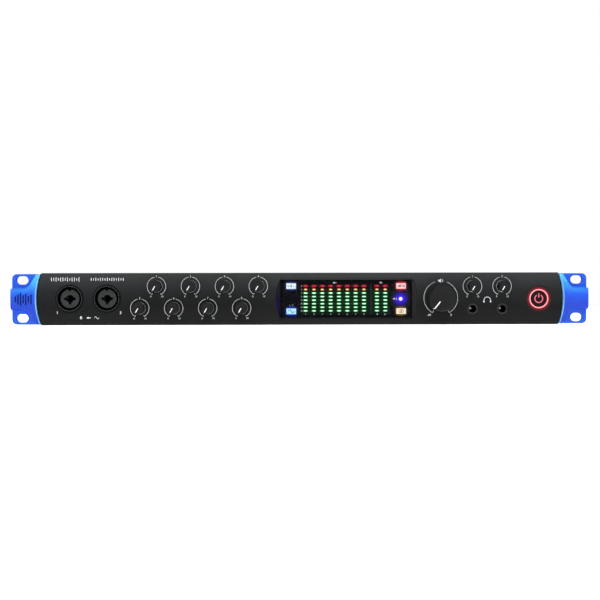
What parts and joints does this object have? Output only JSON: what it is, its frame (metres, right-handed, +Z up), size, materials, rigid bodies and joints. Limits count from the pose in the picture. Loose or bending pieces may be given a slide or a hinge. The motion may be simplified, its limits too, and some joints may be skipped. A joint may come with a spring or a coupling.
{
  "type": "rack audio interface",
  "caption": "One-unit rack audio interface: black panel between blue ears, front combo sockets, gain knobs, lit level meter, main and phones knobs, sockets at the back.",
  "frame": {"origin": "middle of the overall width and depth, at the underside of the case", "axes": "+X to the right seen from the front, +Y from the front panel to the rear panel, +Z up"},
  "size_m": [0.4826, 0.163, 0.0436],
  "materials": {
    "case_black": "fine textured black powder coat",
    "panel_black": "satin black paint",
    "ear_blue": "pearl blue paint",
    "screw_black": "black zinc",
    "lens": "clear glossy",
    "mask_black": "matte",
    "light_green": "lit",
    "light_amber": "lit",
    "light_red": "lit",
    "light_blue": "lit",
    "board_green": "solder mask",
    "board_tan": "bare laminate",
    "socket_black": "moulded",
    "insert_grey": "moulded",
    "nut_metal": "nickel",
    "bnc_metal": "nickel",
    "rca_gold": "gold plated",
    "usb_steel": "stamped",
    "inlet_black": "moulded",
    "ring_light": "lit",
    "power_cap": "satin",
    "switch_grey": "moulded",
    "pot_metal": "stamped",
    "supply_yellow": "taped coil",
    "standoff_metal": "turned",
    "cable_grey": "flat cable",
    "knob_black": "soft touch",
    "shaft_metal": "turned",
    "cap_white": "lit",
    "cap_cyan": "lit",
    "cap_pink": "lit",
    "cap_cream": "lit"
  },
  "bodies": {
    "root": {"base_tray": "case_black", "side_walls": "case_black", "top_cover": "case_black", "rear_panel": "case_black", "front_panel": "panel_black", "left_ear": "ear_blue", "right_ear": "ear_blue", "screws": "screw_black", "meter_window": "lens", "meter_mask": "mask_black", "green_leds": "light_green", "amber_leds": "light_amber", "red_leds": "light_red", "sync_led": "light_blue", "control_boards": "board_green", "combo_housings": "socket_black", "combo_inserts": "insert_grey", "jack_bodies": "socket_black", "jack_nuts": "nut_metal", "bnc_sockets": "bnc_metal", "rca_sockets": "rca_gold", "midi_sockets": "socket_black", "optical_ports": "socket_black", "usb_port": "usb_steel", "power_inlet": "inlet_black", "power_ring": "ring_light", "switch_bodies": "switch_grey", "pot_bodies": "pot_metal", "main_board": "board_green", "supply_board": "board_tan", "supply_parts": "supply_yellow", "standoffs": "standoff_metal", "ribbon_cables": "cable_grey"},
    "main_dial": {"main_knob": "knob_black", "main_shaft": "shaft_metal"},
    "phantom_cap": {"phantom_button": "cap_white"},
    "line_cap": {"line_button": "cap_cyan"},
    "mute_cap": {"mute_button": "cap_pink"},
    "mono_cap": {"mono_button": "cap_cream"},
    "power_cap": {"power_button": "power_cap"},
    "gain_dial_1": {"gain_knob_1": "knob_black", "gain_shaft_1": "shaft_metal"},
    "gain_dial_2": {"gain_knob_2": "knob_black", "gain_shaft_2": "shaft_metal"},
    "gain_dial_3": {"gain_knob_3": "knob_black", "gain_shaft_3": "shaft_metal"},
    "gain_dial_4": {"gain_knob_4": "knob_black", "gain_shaft_4": "shaft_metal"},
    "gain_dial_5": {"gain_knob_5": "knob_black", "gain_shaft_5": "shaft_metal"},
    "gain_dial_6": {"gain_knob_6": "knob_black", "gain_shaft_6": "shaft_metal"},
    "gain_dial_7": {"gain_knob_7": "knob_black", "gain_shaft_7": "shaft_metal"},
    "gain_dial_8": {"gain_knob_8": "knob_black", "gain_shaft_8": "shaft_metal"},
    "phones_dial_1": {"phones_knob_1": "knob_black", "phones_shaft_1": "shaft_metal"},
    "phones_dial_2": {"phones_knob_2": "knob_black", "phones_shaft_2": "shaft_metal"}
  },
  "joints": [
    {"name": "gain_dial_1_turn", "type": "hinge", "parent": "root", "child": "gain_dial_1", "pos_m": [-0.1203, -0.0705, 0.0324], "axis": [0, 1, 0], "range_deg": [0, 300]},
    {"name": "gain_dial_2_turn", "type": "hinge", "parent": "root", "child": "gain_dial_2", "pos_m": [-0.092, -0.0705, 0.0324], "axis": [0, 1, 0], "range_deg": [0, 300]},
    {"name": "gain_dial_3_turn", "type": "hinge", "parent": "root", "child": "gain_dial_3", "pos_m": [-0.0637, -0.0705, 0.0324], "axis": [0, 1, 0], "range_deg": [0, 300]},
    {"name": "gain_dial_4_turn", "type": "hinge", "parent": "root", "child": "gain_dial_4", "pos_m": [-0.0354, -0.0705, 0.0324], "axis": [0, 1, 0], "range_deg": [0, 300]},
    {"name": "gain_dial_5_turn", "type": "hinge", "parent": "root", "child": "gain_dial_5", "pos_m": [-0.1343, -0.0705, 0.0141], "axis": [0, 1, 0], "range_deg": [0, 300]},
    {"name": "gain_dial_6_turn", "type": "hinge", "parent": "root", "child": "gain_dial_6", "pos_m": [-0.106, -0.0705, 0.0141], "axis": [0, 1, 0], "range_deg": [0, 300]},
    {"name": "gain_dial_7_turn", "type": "hinge", "parent": "root", "child": "gain_dial_7", "pos_m": [-0.0777, -0.0705, 0.0141], "axis": [0, 1, 0], "range_deg": [0, 300]},
    {"name": "gain_dial_8_turn", "type": "hinge", "parent": "root", "child": "gain_dial_8", "pos_m": [-0.0494, -0.0705, 0.0141], "axis": [0, 1, 0], "range_deg": [0, 300]},
    {"name": "phones_dial_1_turn", "type": "hinge", "parent": "root", "child": "phones_dial_1", "pos_m": [0.144, -0.0705, 0.032], "axis": [0, 1, 0], "range_deg": [0, 300]},
    {"name": "phones_dial_2_turn", "type": "hinge", "parent": "root", "child": "phones_dial_2", "pos_m": [0.1689, -0.0705, 0.032], "axis": [0, 1, 0], "range_deg": [0, 300]},
    {"name": "main_dial_turn", "type": "hinge", "parent": "root", "child": "main_dial", "pos_m": [0.1174, -0.0705, 0.0223], "axis": [0, 1, 0], "range_deg": [0, 300]},
    {"name": "phantom_cap_press", "type": "slide", "parent": "root", "child": "phantom_cap", "axis": [0, 1, 0], "range_m": [0, 0.0008], "stiffness_N_per_m": 800, "springref_m": -0.0005},
    {"name": "line_cap_press", "type": "slide", "parent": "root", "child": "line_cap", "axis": [0, 1, 0], "range_m": [0, 0.0008], "stiffness_N_per_m": 800, "springref_m": -0.0005},
    {"name": "mute_cap_press", "type": "slide", "parent": "root", "child": "mute_cap", "axis": [0, 1, 0], "range_m": [0, 0.0008], "stiffness_N_per_m": 800, "springref_m": -0.0005},
    {"name": "mono_cap_press", "type": "slide", "parent": "root", "child": "mono_cap", "axis": [0, 1, 0], "range_m": [0, 0.0008], "stiffness_N_per_m": 800, "springref_m": -0.0005},
    {"name": "power_cap_press", "type": "slide", "parent": "root", "child": "power_cap", "axis": [0, 1, 0], "range_m": [0, 0.002], "stiffness_N_per_m": 600, "springref_m": -0.0005}
  ]
}
